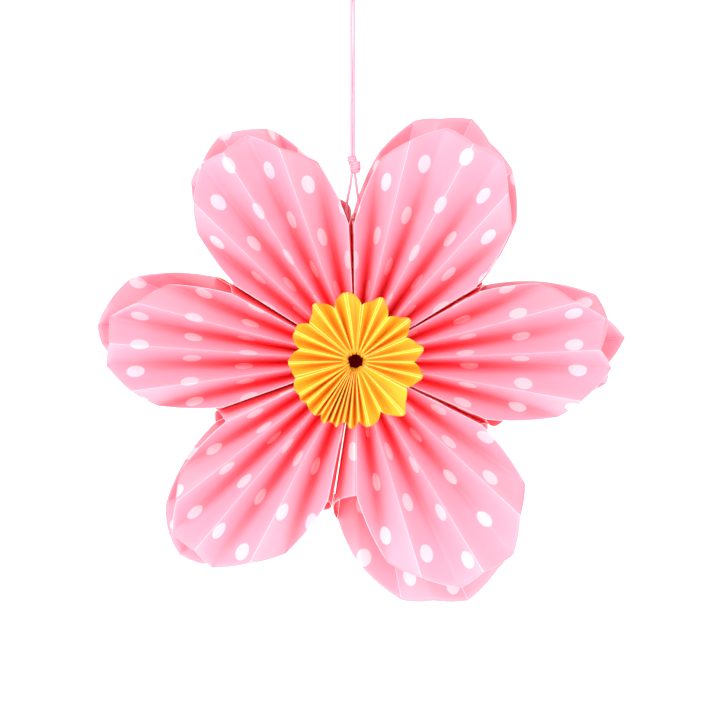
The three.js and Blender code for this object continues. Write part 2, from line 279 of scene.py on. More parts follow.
PINK_SHADES = (linear(1.0, 0.655, 0.73), linear(1.0, 0.68, 0.755))
# Painted highlight: the paler pink beside the mountain folds.
PINK_PAINTED_HIGHLIGHT = linear(1.0, 0.78, 0.85)
# Painted shade: the deep red laid into the petals' valleys and walls, where little light reaches.
PINK_PAINTED_SHADE = linear(1.0, 0.12, 0.17)
DOT = linear(1.0, 0.865, 0.895)
# Painted shade on the white dots in the valleys.
DOT_PAINTED_SHADE = linear(1.0, 0.62, 0.66)
# The cut edge's white, and a painted highlight along the mountain folds.
CUT_EDGE_AND_FOLD_HIGHLIGHT = linear(1.0, 0.88, 0.93)
CUT_SHADES = (linear(1.0, 0.93, 0.96), linear(1.0, 0.985, 0.99))
YELLOW_SHADES = (linear(0.985, 0.715, 0.10), linear(1.0, 0.76, 0.2))
# Painted shade: the orange-brown laid into the rosette's valleys.
YELLOW_PAINTED_SHADE = linear(0.9, 0.47, 0.02)
# Painted highlight: the pale lines along the creases beside the pressed folds.
YELLOW_PAINTED_HIGHLIGHT = linear(1.0, 0.92, 0.55)
HUB_OUTSIDE = (linear(0.80, 0.22, 0.34), linear(0.93, 0.38, 0.48))
HUB_INSIDE = (linear(1.0, 0.16, 0.12), linear(1.0, 0.26, 0.2))
TAB_SHADES = (linear(0.97, 0.88, 0.92), linear(1.0, 0.95, 0.97))
STRING_SHADES = (linear(0.91, 0.55, 0.66), linear(1.0, 0.76, 0.83))
STRING_BLOTCH = linear(0.97, 0.70, 0.78)


def paper_finish(nodes, roughness, fibre=0.06):
    """Paper's fine fibre and its uneven gloss."""
    fine = nodes.noise(2600, 3)
    soft = nodes.noise(180, 4)
    height = nodes.math("ADD", fine, nodes.math("MULTIPLY", soft, 1.6))
    nodes.bump(height, fibre, 0.0006)
    spread = nodes.math("MULTIPLY", nodes.math("SUBTRACT", soft, 0.5), 0.25)
    nodes.feed(nodes.shader.inputs["Roughness"], nodes.math("ADD", spread, roughness, clamp=True))
    nodes.shader.inputs["Specular IOR Level"].default_value = 0.35


def dotted_paper():
    """Pink paper printed with staggered white dots, white at its cut edges, with painted highlights
    along and beside its mountain folds and painted shade in its valleys.
    """
    nodes = Nodes("dotted_paper")
    place = nodes.add("ShaderNodeUVMap", uv_map="print").outputs["UV"]
    high = (DOT_PITCH / 2, DOT_PITCH, 1)
    low = (-DOT_PITCH / 2, -DOT_PITCH, -1)
    first = nodes.vector("LENGTH", nodes.vector("WRAP", place, high, low), output=1)
    shifted = nodes.vector("ADD", place, (DOT_PITCH / 2, DOT_PITCH, 0))
    second = nodes.vector("LENGTH", nodes.vector("WRAP", shifted, high, low), output=1)
    distance = nodes.math("MINIMUM", first, second)
    wobble = nodes.math("MULTIPLY", nodes.math("SUBTRACT", nodes.noise(900, 2), 0.5), 0.25 * MM)
    dot = nodes.ramp(nodes.math("ADD", distance, wobble), DOT_OUTSIDE, DOT_INSIDE)

    fold = nodes.add("ShaderNodeUVMap", uv_map="fold").outputs["UV"]
    parts = nodes.add("ShaderNodeSeparateXYZ", inputs={"Vector": fold})
    from_fold, from_edge = parts.outputs["X"], parts.outputs["Y"]
    # A painted highlight along the mountain folds (crease) and the white of the cut edge (rim).
    uneven_width = nodes.math("MULTIPLY", nodes.noise(420, 3), 0.5 * MM)
    crease = nodes.ramp(from_fold, nodes.math("ADD", uneven_width, 0.25 * MM), 0.12 * MM)
    rim = nodes.ramp(from_edge, nodes.math("ADD", uneven_width, 0.05 * MM), 0.0)

    # The "depth" map carries painted light: painted shade (x) and a painted highlight (y).
    depth = nodes.add("ShaderNodeUVMap", uv_map="depth").outputs["UV"]
    depths = nodes.add("ShaderNodeSeparateXYZ", inputs={"Vector": depth})
    painted_shade, painted_highlight = depths.outputs["X"], depths.outputs["Y"]
    mottle = nodes.noise(55, 4)
    pink = nodes.mix(mottle, *PINK_SHADES)
    # Painted highlight beside the mountain folds.
    pink = nodes.mix(nodes.math("MULTIPLY", painted_highlight, 0.35), pink, PINK_PAINTED_HIGHLIGHT)
    # Painted shade in the valleys, on the pink and on the dots.
    pink = nodes.mix(nodes.ramp(painted_shade, 0.22, 0.85), pink, PINK_PAINTED_SHADE)
    dots = nodes.mix(nodes.ramp(painted_shade, 0.25, 0.85), DOT, DOT_PAINTED_SHADE)
    printed = nodes.mix(dot, pink, dots)
    # Painted highlight along the mountain folds, then the cut edge's white.
    fold_highlight = nodes.math("MULTIPLY", crease, 0.85)
    color = nodes.mix(fold_highlight, printed, CUT_EDGE_AND_FOLD_HIGHLIGHT)
    color = nodes.mix(rim, color, CUT_EDGE_AND_FOLD_HIGHLIGHT)
    nodes.feed(nodes.shader.inputs["Base Color"], color)
    paper_finish(nodes, 0.42)
    return nodes.material


def paper_core():
    """The white cut edge of the printed paper."""
    nodes = Nodes("paper_core")
    tone = nodes.noise(700, 3)
    color = nodes.mix(tone, *CUT_SHADES)
    nodes.feed(nodes.shader.inputs["Base Color"], color)
    paper_finish(nodes, 0.7)
    return nodes.material


def yellow_paper():
    """The rosette's plain yellow paper, with painted highlights along the creases beside its pressed
    folds and painted shade in its valleys.
    """
    nodes = Nodes("yellow_paper")
    fold = nodes.add("ShaderNodeUVMap", uv_map="fold").outputs["UV"]
    parts = nodes.add("ShaderNodeSeparateXYZ", inputs={"Vector": fold})
    uneven_width = nodes.math("MULTIPLY", nodes.noise(700, 3), 0.3 * MM)
    past_flat = nodes.math("SUBTRACT", parts.outputs["X"], ROSETTE_FLAT * ROSETTE_PANEL)
    from_crease = nodes.math("ABSOLUTE", past_flat)
    crease = nodes.ramp(from_crease, nodes.math("ADD", uneven_width, 0.45 * MM), 0.15 * MM)
    # Painted shade in the valleys, from the "depth" map.
    depth = nodes.add("ShaderNodeUVMap", uv_map="depth").outputs["UV"]
    painted_shade = nodes.add("ShaderNodeSeparateXYZ", inputs={"Vector": depth}).outputs["X"]
    mottle = nodes.noise(120, 4)
    base = nodes.mix(mottle, *YELLOW_SHADES)
    base = nodes.mix(nodes.ramp(painted_shade, 0.12, 0.95), base, YELLOW_PAINTED_SHADE)
    # Painted highlight along the creases.
    color = nodes.mix(nodes.math("MULTIPLY", crease, 0.75), base, YELLOW_PAINTED_HIGHLIGHT)
    nodes.feed(nodes.shader.inputs["Base Color"], color)
    paper_finish(nodes, 0.45)
    return nodes.material


def hub_paper(name, shades):
    """The core's rolled paper, with a grain that runs along its axis."""
    nodes = Nodes(name)
    grain = nodes.noise(300, 4, stretch=(1, 0.15, 1))
    color = nodes.mix(grain, *shades)
    nodes.feed(nodes.shader.inputs["Base Color"], color)
    paper_finish(nodes, 0.6)
    return nodes.material


def tab_paper():
    """The closure's nearly white adhesive paper."""
    nodes = Nodes("tab_paper")
    grain = nodes.noise(260, 4)
    color = nodes.mix(grain, *TAB_SHADES)
    nodes.feed(nodes.shader.inputs["Base Color"], color)
    paper_finish(nodes, 0.55)
    return nodes.material


def string_fibre():
    """Pale pink spun cord: fine fibres that run along each ply."""
    nodes = Nodes("string_fibre")
    place = nodes.add("ShaderNodeUVMap", uv_map="lay").outputs["UV"]
    fibres = nodes.noise(1.0, 3, stretch=(60, 900, 1), coordinates=place)
    blotch = nodes.noise(90, 3)
    color = nodes.mix(fibres, *STRING_SHADES)
    color = nodes.mix(nodes.math("MULTIPLY", blotch, 0.4), color, STRING_BLOTCH)
    nodes.feed(nodes.shader.inputs["Base Color"], color)
    nodes.bump(fibres, 0.35, 0.0001)
    nodes.shader.inputs["Roughness"].default_value = 0.55
    nodes.shader.inputs["Sheen Weight"].default_value = 0.1
    nodes.shader.inputs["Sheen Roughness"].default_value = 0.4
    return nodes.material


# --- Meshes -----------------------------------------------------------------------------------
def add_piece(name, vertices, faces, materials, indices=None, uvs=None, sharp=None):
    """An object from arrays. indices holds each face's material, uvs maps a UV map's name to one
    pair for each vertex, and an edge is sharp where both its vertices are marked so."""
    mesh = bpy.data.meshes.new(name)
    mesh.from_pydata([tuple(v) for v in vertices], [], [tuple(int(i) for i in f) for f in faces])
    for material in materials:
        mesh.materials.append(material)
    if indices is not None:
        mesh.polygons.foreach_set("material_index", np.asarray(indices, np.int32))
    mesh.polygons.foreach_set("use_smooth", np.full(len(mesh.polygons), True))
    corner = np.zeros(len(mesh.loops), np.int32)
    mesh.loops.foreach_get("vertex_index", corner)
    for key, pairs in (uvs or {}).items():
        layer = mesh.uv_layers.new(name=key)
        layer.data.foreach_set("uv", np.asarray(pairs, np.float32)[corner].ravel())
    if sharp is not None:
        ends = np.zeros(len(mesh.edges) * 2, np.int32)
        mesh.edges.foreach_get("vertices", ends)
        marks = sharp[ends.reshape(-1, 2)].all(axis=1)
        mesh.edges.foreach_set("use_edge_sharp", marks)
    mesh.update()
    piece = bpy.data.objects.new(name, mesh)
    bpy.context.collection.objects.link(piece)
    return piece


def sheet_normals(points):
    """Unit normals of a grid of points, averaged over the faces that meet at each point."""
    across = points[1:, :-1] - points[:-1, :-1] + points[1:, 1:] - points[:-1, 1:]
    along = points[:-1, 1:] - points[:-1, :-1] + points[1:, 1:] - points[1:, :-1]
    face = np.cross(across, along)
    face /= np.linalg.norm(face, axis=-1, keepdims=True)
    total = np.zeros_like(points)
    for i in (0, 1):
        for j in (0, 1):
            total[i:len(points) - 1 + i, j:points.shape[1] - 1 + j] += face
    return total / np.linalg.norm(total, axis=-1, keepdims=True)


def sheet_faces(columns, rows):
    """The faces of a closed sheet: one side, the other, its two long edges and inner end, and last
    the cut edge at its outer end."""
    count = columns * rows
    number = np.arange(count).reshape(columns, rows)
    a, b = number[:-1, :-1].ravel(), number[1:, :-1].ravel()
    c, d = number[1:, 1:].ravel(), number[:-1, 1:].ravel()
    top = np.stack([a, b, c, d], axis=1)
    bottom = np.stack([a, d, c, b], axis=1) + count
    loop = np.array([*number[::-1, -1], *number[0, -2::-1], *number[1:, 0], *number[-1, 1:-1]])
    following = np.roll(loop, -1)
    rim = np.stack([following, loop, loop + count, following + count], axis=1)
    cut = rim[:columns - 1]
    folded = rim[columns - 1:]
    return np.concatenate([top, bottom, folded, cut]), len(cut)


def ring_faces(rings, count):
    """The faces of a closed tube of rings of so many vertices, and last a cap at each end."""
    faces = []
    for ring in range(rings - 1):
        this, following = ring * count, (ring + 1) * count
        for i in range(count):
            j = (i + 1) % count
            faces.append((this + i, this + j, following + j, following + i))
    last = (rings - 1) * count
    faces.append(tuple(range(count))[::-1])
    faces.append(tuple(last + i for i in range(count)))
    return faces


def add_sheet(name, points, thickness, materials, uvs, sharp_columns=()):
    """A closed sheet of paper of a thickness round a grid of points."""
    normals = sheet_normals(points)
    columns, rows = points.shape[:2]
    flat = points.reshape(-1, 3)
    aside = normals.reshape(-1, 3) * thickness / 2
    vertices = np.concatenate([flat + aside, flat - aside])
    faces, cut = sheet_faces(columns, rows)
    indices = np.zeros(len(faces), int)
    indices[-cut:] = len(materials) - 1
    marks = np.zeros((columns, rows), bool)
    marks[list(sharp_columns)] = True
    sharp = np.concatenate([marks.ravel(), marks.ravel()])
    doubled = {key: np.concatenate([pairs.reshape(-1, 2)] * 2) for key, pairs in uvs.items()}
    return add_piece(name, vertices, faces, materials, indices, doubled, sharp)


def place(radius, angle, aside, depth):
    """Points at radii and angles round the hub, moved aside round the axis, at depths."""
    a = np.radians(angle)
    return np.stack(
        [
            HUB.x + radius * np.cos(a) - aside * np.sin(a),
            depth + np.zeros_like(radius),
            HUB.z + radius * np.sin(a) + aside * np.cos(a),
        ],
        axis=-1,
    )


def lerp(a, b, share):
    return a + (b - a) * share


def smooth(x):
    """0 at 0 and below, 1 at 1 and above, smooth between."""
    x = np.clip(x, 0, 1)
    return x * x * (3 - 2 * x)


def blend_by_angle(piece, span):
    """Works out each vertex's share of the span by angle, through the inverse of smooth so that it
    rises evenly with the angle, but keeps none of it: the vertices end where they began."""
    mesh = piece.data
    rest = np.zeros(len(mesh.vertices) * 3, np.float32)
    mesh.vertices.foreach_get("co", rest)
    rest = rest.reshape(-1, 3)
    angle = np.degrees(np.arctan2(rest[:, 2] - HUB.z, rest[:, 0] - HUB.x))
    middle = (span[0] + span[1]) / 2
    angle = middle + (angle - middle + 180) % 360 - 180
    share = np.clip((angle - span[0]) / (span[1] - span[0]), 0, 1)
    unrolled = np.zeros_like(rest)
    unrolled[:, 0] = 0.5 - np.sin(np.arcsin(1 - 2 * share) / 3)  # the inverse of smooth
    mesh.vertices.foreach_set("co", unrolled.ravel())
    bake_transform(piece)
    mesh.vertices.foreach_set("co", rest.ravel())
    mesh.update()


# --- Petals -----------------------------------------------------------------------------------
PANEL_STEPS = 10
STATIONS = 44


def fold_reaches(number, face):
    """How far out each fold of a fan ends in mm, before its petal's own reach is added."""
    usual = FRONT_REACH if face == "front" else BACK_REACH
    return np.add(usual, LONGER.get((number, face), NO_CHANGE))


def petal_reach(fold, reaches, longer):
    """Where the cut edge is: straight across each panel from fold to fold, a little bulged."""
    straight = np.interp(fold, np.arange(PANELS + 1), reaches) * MM
    return straight + PANEL_BULGE * np.sin(np.pi * (fold % 1)) + longer * MM


def pleat_profile(fold, roundness, flat=0.0):
    """How deep the paper lies between a mountain fold (0) and a valley (1): a sharp or flattened
    mountain and a rounded valley."""
    t = np.clip((1 - np.abs(fold % 2 - 1) - flat) / (1 - flat), 0, 1)
    return (1 - roundness) * t + roundness * np.sin(np.pi / 2 * t)


def petal_fan(petal, number, face, materials):
    """A petal's front or back sheet: pleated panels that spread from the hub."""
    inward = 1 if face == "front" else -1
    outermost = FRONT_DEPTH if face == "front" else BACK_DEPTH
    edges = petal[face]
    fold = np.linspace(0, PANELS, PANELS * PANEL_STEPS + 1)[:, None]
    station = np.linspace(0, 1, STATIONS)[None, :]

    clearance = WALL_OFFSET + FOLD_OFFSET
    profile = pleat_profile(fold, PLEAT_ROUNDNESS)
    longer = petal["reach"][0 if face == "front" else 1]
    reach = petal_reach(fold, fold_reaches(number, face), longer)
    radius = lerp(INNER_RADIUS, reach, station)

    first = np.maximum(0, clearance - radius * np.radians(edges[0] - petal["glue"][0]))
    last = np.maximum(0, clearance - radius * np.radians(petal["glue"][1] - edges[1]))
    spacing = (radius * np.radians(edges[1] - edges[0]) - first - last) / PANELS
    drop = np.sqrt(PANEL_WIDTH**2 - spacing**2)
    outer = smooth(radius / PETAL_REACH)
    folds = np.arange(PANELS + 1)
    sunk = np.interp(fold, folds, np.abs(rng.normal(0, FOLD_SINKING, PANELS + 1)))
    leans = np.interp(fold, folds, petal["lean" if face == "front" else "back_lean"])
    depth = outermost + inward * (drop * profile + sunk * outer)
    angle = lerp(edges[0], edges[1], fold / PANELS) + leans * smooth(radius / LEANING_RADIUS)
    aside = lerp(first, -last, fold / PANELS)
    points = place(radius, angle, aside, depth)

    along_folds, dot_across, dot_along = petal[f"{face}_print"]
    across = (fold - PANELS / 2) * PANEL_WIDTH - dot_across * MM + 0 * radius
    print_shift = PRINT_SHIFT * smooth(np.abs(fold - PANELS / 2) / PRINT_SHIFT_FOLDS)
    along = radius - print_shift - dot_along * MM
    pair = (along, across) if along_folds else (across, along)
    from_fold = (1 - np.abs(fold % 2 - 1)) * PANEL_WIDTH + 0 * radius
    # Painted shade: deepest red in the valleys, where the pleats close up near the hub.
    painted_shade = (1 - np.abs(fold % 2 - 1)) * (1 - spacing / PANEL_WIDTH)
    # Painted highlight: a paler strip beside each mountain fold, strongest near the hub.
    painted_highlight = (1 - smooth(from_fold / HIGHLIGHT_WIDTH)) * (HIGHLIGHT_AT_HUB - HIGHLIGHT_FADE * outer)
    uvs = {
        "print": np.stack(pair, axis=-1),
        "fold": np.stack([from_fold, reach - radius], axis=-1),
        "depth": np.stack([painted_shade, painted_highlight], axis=-1),
    }
    name = f"petal_{number}_{face}_pleats"
    mountains = range(0, PANELS * PANEL_STEPS + 1, 2 * PANEL_STEPS)
    piece = add_sheet(name, points, PAPER, materials, uvs, mountains)
    blend_by_angle(piece, petal["glue"])
    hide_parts(f"petal_{number}_{face}_fan")


WALL_STEPS = 25
WALL_STATIONS = 36
EDGE_PAINTED_SHADE = 0.2  # how much painted shade, a deep red, a wall has at its edges, where 0 is none and 1 the most,
MIDDLE_PAINTED_SHADE = 0.5  # and how much more at mid depth
PAINTED_SHADE_AT_AXIS = 1.15  # what the painted shade is multiplied by at the axis,
PAINTED_SHADE_FADE = 0.75  # and how much less at the cut edge
SLIT_PAINTED_SHADE = 0.7  # how much painted shade a wall has in a slit


def punch_hole(piece):
    """Cuts the string hole through a wall."""
    bpy.ops.mesh.primitive_cylinder_add(
        vertices=32, radius=HOLE_RADIUS, depth=0.02, location=HOLE - HOLE_SHIFT,
        rotation=(0, math.radians(90), 0),
    )
    cutter = bpy.context.object
    cutter.data.materials.append(piece.data.materials[-1])
    modifier = piece.modifiers.new("hole", "BOOLEAN")
    modifier.operation = "DIFFERENCE"
    modifier.object = cutter
    modifier.solver = "EXACT"
    graph = bpy.context.evaluated_depsgraph_get()
    cut = bpy.data.meshes.new_from_object(piece.evaluated_get(graph))
    piece.modifiers.clear()
    piece.data = cut
    bpy.data.objects.remove(cutter)


def side_wall(petal, number, end, materials):
    """A petal's wall: flat along the glue line and turned out to the fans at its two edges."""
    side = 1 if end == 0 else -1
    glue = petal["glue"][end]
    edge_depth = BACK_DEPTH - WALL_SETBACK  # the front folds lie as far the other way
    depth = np.linspace(-edge_depth, edge_depth, WALL_STEPS)[:, None]
    station = np.linspace(0, 1, WALL_STATIONS)[None, :]
    front_to_back = (depth + edge_depth) / (2 * edge_depth)
    edge_fold = -end  # the fan's first fold or its last
    front_reach = fold_reaches(number, "front")[edge_fold] + petal["reach"][0]
    back_reach = fold_reaches(number, "back")[edge_fold] + petal["reach"][1]
    reach = lerp(front_reach, back_reach, front_to_back) * MM
    radius = lerp(WALL_START, reach, station)
    spread = np.where(depth < 0, petal["front"][end] - glue, petal["back"][end] - glue) * side
    outermost = np.maximum(WALL_OFFSET, radius * np.radians(spread) - FOLD_OFFSET)
    share = (np.abs(depth) / edge_depth) ** WALL_CLING
    aside = side * lerp(WALL_OFFSET, outermost, share)
    points = place(radius, np.full_like(radius, glue), aside, depth)
    if side < 0:
        points = points[::-1]

    across = depth - WALL_DOT_ACROSS + 0 * radius
    along = radius - (WALL_DOT_ALONG + WALL_DOT_STEP * number) * MM
    from_fold = edge_depth + 0 * radius
    # Painted shade on the wall: deep red, most at mid depth, near the axis and in a slit.
    inside = 1 - np.abs(depth) / edge_depth
    painted_shade = (EDGE_PAINTED_SHADE + MIDDLE_PAINTED_SHADE * inside) * (PAINTED_SHADE_AT_AXIS - PAINTED_SHADE_FADE * radius / reach)
    tight = 1 - smooth((np.abs(spread) - TIGHT_SPREAD) / TIGHT_RANGE)
    painted_shade = lerp(painted_shade, SLIT_PAINTED_SHADE, tight)
    uvs = {
        "print": np.stack([across, along], axis=-1),
        "fold": np.stack([from_fold, reach - radius], axis=-1),
        "depth": np.stack([painted_shade, 0 * painted_shade], axis=-1),
    }
    if side < 0:
        uvs = {key: pairs[::-1] for key, pairs in uvs.items()}
    wall = "start_wall" if end == 0 else "end_wall"
    piece = add_sheet(f"petal_{number}_{wall}_paper", points, WALL_PAPER, materials, uvs)
    if (number, end) in ((2, 1), (3, 0)):
        punch_hole(piece)
    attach(piece, petal["bodies"][end])
    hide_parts(f"petal_{number}_{wall}")


def make_petals(printed, core):
    for index, petal in enumerate(PETALS):
        for face in ("front", "back"):
            petal_fan(petal, index + 1, face, [printed, core])
        for end in (0, 1):
            side_wall(petal, index + 1, end, [printed, core])


# --- Rosette, hub and closure -----------------------------------------------------------------
ROSETTE_STEPS = 6
ROSETTE_STATIONS = 22
PANELS_PER_SCALLOP = 4

# How uneven the rosette is: the usual random change at a fold, and the most that is kept.
REACH_CHANGE = 0.9 * MM
INNER_CHANGE = 0.9 * MM
MOST_INNER_CHANGE = 1.1 * MM
WANDER = 0.4  # of a fold towards the next, as a share of the way
MOST_WANDER = 0.46
WANDER_FADE = 0.6  # how much less a fold wanders at the tips than at the axis
SHALLOWNESS = 0.3  # of a valley, as a share of its depth
MOST_SHALLOWNESS = 0.55
RIPPLE = 0.7 * MM  # of the cut edge, in depth

TIP_BLUNTNESS = 1.15  # 1 is a pointed scallop, and more cuts its tip off flat
SCALLOP_BULGE = 0.8  # 1 is a scallop with straight sides, and less bulges them
SPREAD_LESS_SHADE = 0.8  # how much less painted shade a valley has where its panels are spread out flat
LEAST_DROP = 0.5  # a valley's least depth, as a share of a panel
PRESSED_AT_HUB = 0.45  # the share of their depth that valleys have where they begin
PRESSED_WIDTH = 20 * MM  # from where they begin to where they have their whole depth
CURL_WIDTH = 4.5 * MM  # of the folds' inner ends, which roll back into the hub's hole
CURL_CHANGE = 1.3 * MM
MOST_CURL_CHANGE = 2.5 * MM
CURL_DEPTH = 4.5 * MM


def rosette_angles(section):
    """The angle of each fold, from notch to tip to notch, with a valley between each."""
    tips = section["tips"]
    first, last = section["span"]
    between = [(before + after) / 2 for before, after in zip(tips, tips[1:])]
    notches = [first, *between, last]
    ridges = [notches[0]]
    for tip, notch in zip(tips, notches[1:]):
        ridges += [tip, notch]
    folds = [ridges[0]]
    for before, after in zip(ridges, ridges[1:]):
        folds += [(before + after) / 2, after]
    return np.array(folds)


def uneven(folds, spread):
    """A small random change for each fold, none for the two that meet the next sections."""
    return np.r_[0, rng.normal(0, spread, folds - 1), 0]


def rosette_section(section, number, material):
    """The part of the rosette over one petal: scallops of unevenly pressed pleats."""
    angles = rosette_angles(section)
    folds = len(angles) - 1
    fold = np.linspace(0, folds, folds * ROSETTE_STEPS + 1)[:, None]
    station = np.linspace(0, 1, ROSETTE_STATIONS)[None, :]
    in_scallop = (fold % PANELS_PER_SCALLOP) / PANELS_PER_SCALLOP
    from_notch = 1 - np.abs(2 * in_scallop - 1)
    pointed = np.minimum(1, TIP_BLUNTNESS * from_notch) ** SCALLOP_BULGE

    def spread_over(values):
        return np.interp(fold, np.arange(folds + 1), values)

    scallop = fold / PANELS_PER_SCALLOP
    notch = np.interp(scallop, np.arange(len(section["notches"])), section["notches"]) * MM
    reach = lerp(notch, ROSETTE_TIP, pointed) + spread_over(uneven(folds, REACH_CHANGE))
    inner_change = spread_over(np.abs(uneven(folds, INNER_CHANGE)))
    inner = ROSETTE_INNER - np.minimum(MOST_INNER_CHANGE, inner_change)
    radius = lerp(inner, reach, station)
    outer = smooth(radius / ROSETTE_TIP)

    width = np.gradient(angles)
    wander = np.clip(uneven(folds, WANDER), -MOST_WANDER, MOST_WANDER) * width
    angle = spread_over(angles) + spread_over(wander) * (1 - WANDER_FADE * outer)
    spacing = radius * np.radians(spread_over(width))
    drop = np.sqrt(np.maximum(ROSETTE_PANEL**2 - spacing**2, (LEAST_DROP * ROSETTE_PANEL) ** 2))
    pressed = lerp(PRESSED_AT_HUB, 1, smooth((radius - ROSETTE_INNER) / PRESSED_WIDTH))
    shallow = 1 - np.minimum(MOST_SHALLOWNESS, np.abs(spread_over(uneven(folds, SHALLOWNESS))))
    profile = pleat_profile(fold, ROSETTE_ROUNDNESS, ROSETTE_FLAT)
    curl_change = np.clip(uneven(folds, CURL_CHANGE), -MOST_CURL_CHANGE, MOST_CURL_CHANGE)
    curl = spread_over(CURL_WIDTH + curl_change)
    rolled = CURL_DEPTH * (1 - smooth((radius - ROSETTE_INNER) / curl)) ** 2
    ripple = spread_over(np.abs(uneven(folds, RIPPLE))) * outer
    depth = ROSETTE_FRONT + drop * pressed * shallow * profile + rolled * (1 - profile) + ripple
    aside = lerp(SECTION_INSET, -SECTION_INSET, fold / folds) + 0 * radius
    points = place(radius, angle, aside, depth)

    from_fold = (1 - np.abs(fold % 2 - 1)) * ROSETTE_PANEL + 0 * radius
    # Painted shade in the valleys: less near the hub and where the panels spread out flat.
    painted_shade = profile * pressed * (1 - SPREAD_LESS_SHADE * np.clip(spacing / ROSETTE_PANEL, 0, 1))
    uvs = {
        "fold": np.stack([from_fold, reach - radius], axis=-1),
        "depth": np.stack([painted_shade, 0 * painted_shade], axis=-1),
    }
    ridges = np.arange(0, folds * ROSETTE_STEPS + 1, 2 * ROSETTE_STEPS)
    creases = [*(ridges[1:] - 1), *(ridges[:-1] + 1)]
    piece = add_sheet(f"rosette_{number}_pleats", points, ROSETTE_PAPER, [material], uvs, creases)
    blend_by_angle(piece, section["span"])
    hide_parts(f"rosette_{number}")


def make_rosette(material):
    for index, section in enumerate(ROSETTE):
        rosette_section(section, index + 1, material)


HUB_SIDES = 96
HUB_RINGS = 30
HUB_RIM = 0.97  # the radii of its back rim, its outside and its inside, as shares of the CAD's
HUB_SKIN = 0.99
HUB_BORE = 0.86
HUB_PLEATS = 28  # gathered round the core
HUB_PLEAT_DEPTH = 0.05  # as a share of its radius
HUB_FLOOR = 0.6 * MM  # the thickness of the closed back
HUB_ROUNDING = 0.2 * MM  # of its back rim
HUB_SETBACK = 1.8 * MM  # of the paper's front edge from the front of the CAD's core


def hub_profile(low, high):
    """The core's profile as shares of its radius and depths: from the middle of its back, round
    the outside to the front edge, and inside down to the middle of its floor. The second value is
    how many of the places are outside."""
    start, floor, rounding = low.y + HUB_SETBACK, high.y - HUB_FLOOR, high.y - HUB_ROUNDING
    back = [(share, high.y) for share in (0.3, 0.6, 0.9)]
    rim = [(HUB_RIM, rounding)]
    outside = [(HUB_SKIN, y) for y in np.linspace(rounding, start, HUB_RINGS)]
    inside = [(HUB_BORE, y) for y in np.linspace(start, floor, HUB_RINGS)]
    bottom = [(share, floor) for share in (0.6, 0.3)]
    return back + rim + outside + inside + bottom, len(back + rim + outside)


def hub_core(outside_paper, inside_paper):
    """The rolled core: a tube whose wall is gathered into small pleats, closed at the back."""
    low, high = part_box("hub_core")
    outer = (high.x - low.x) / 2
    angle = np.linspace(0, 2 * np.pi, HUB_SIDES, endpoint=False)[:, None]
    gather = 1 - HUB_PLEAT_DEPTH * (0.5 + 0.5 * np.cos(HUB_PLEATS * angle))
    profile, outside_places = hub_profile(low, high)
    points = []
    for share, y in profile:
        ring = share * outer * gather
        sides = [ring * np.cos(angle), np.full_like(angle, y), ring * np.sin(angle)]
        points.append(np.concatenate(sides, 1))
    vertices = np.concatenate(points) + np.array([HUB.x, 0, HUB.z])
    faces = ring_faces(len(profile), HUB_SIDES)
    indices = np.zeros(len(faces), int)
    indices[(outside_places - 1) * HUB_SIDES:(len(profile) - 1) * HUB_SIDES] = 1
    indices[-1] = 1
    piece = add_piece("hub_core_paper", vertices, faces, [outside_paper, inside_paper], indices)
    fix_normals(piece)
    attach(piece, "top_leaf")
    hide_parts("hub_core")


def fix_normals(piece):
    """Turns every face of a closed mesh outwards."""
    work = bmesh.new()
    work.from_mesh(piece.data)
    bmesh.ops.recalc_face_normals(work, faces=work.faces)
    work.to_mesh(piece.data)
    work.free()


TAB_HALF_LENGTH = 4.5 * MM
TAB_HALF_WIDTH = 4.0 * MM
TAB_HALF_THICKNESS = 0.5 * MM
TAB_SIDES = 24
TAB_CORNER = 1.3  # how far out its corners go, as a share of the way to its sides
TAB_TEARING = 0.04  # how uneven its outline is
TAB_FACE = 0.94  # the size of its two faces, as a share of the pad between them


def closure_tab(material):
    """The adhesive tab between the first and last walls: a small pad with torn corners."""
    low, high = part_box("closure_tab")
    centre = (low + high) / 2
    angle = (PETALS[4]["glue"][1] + PETALS[5]["glue"][0]) / 2
    turn = np.linspace(0, 2 * np.pi, TAB_SIDES, endpoint=False)
    corner = 1 / np.maximum(np.abs(np.cos(turn)), np.abs(np.sin(turn)))
    torn = np.minimum(corner, TAB_CORNER) * (1 - np.abs(rng.normal(0, TAB_TEARING, TAB_SIDES)))
    out = TAB_HALF_LENGTH * torn * np.cos(turn)
    back = TAB_HALF_WIDTH * torn * np.sin(turn)
    a = math.radians(angle)
    layers = []
    for share in (-1, -0.8, 0.8, 1):
        aside = share * TAB_HALF_THICKNESS
        pull = TAB_FACE if abs(share) == 1 else 1.0
        layers.append(np.stack([
            centre.x + pull * out * math.cos(a) - aside * math.sin(a),
            centre.y + pull * back,
            centre.z + pull * out * math.sin(a) + aside * math.cos(a),
        ], axis=1))
    vertices = np.concatenate(layers)
    faces = ring_faces(len(layers), TAB_SIDES)
    piece = add_piece("closure_pad", vertices, faces, [material])
    fix_normals(piece)
    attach(piece, "left_end")
    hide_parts("closure_tab")


# --- String -----------------------------------------------------------------------------------
HOLE_Z = HOLE.z / MM

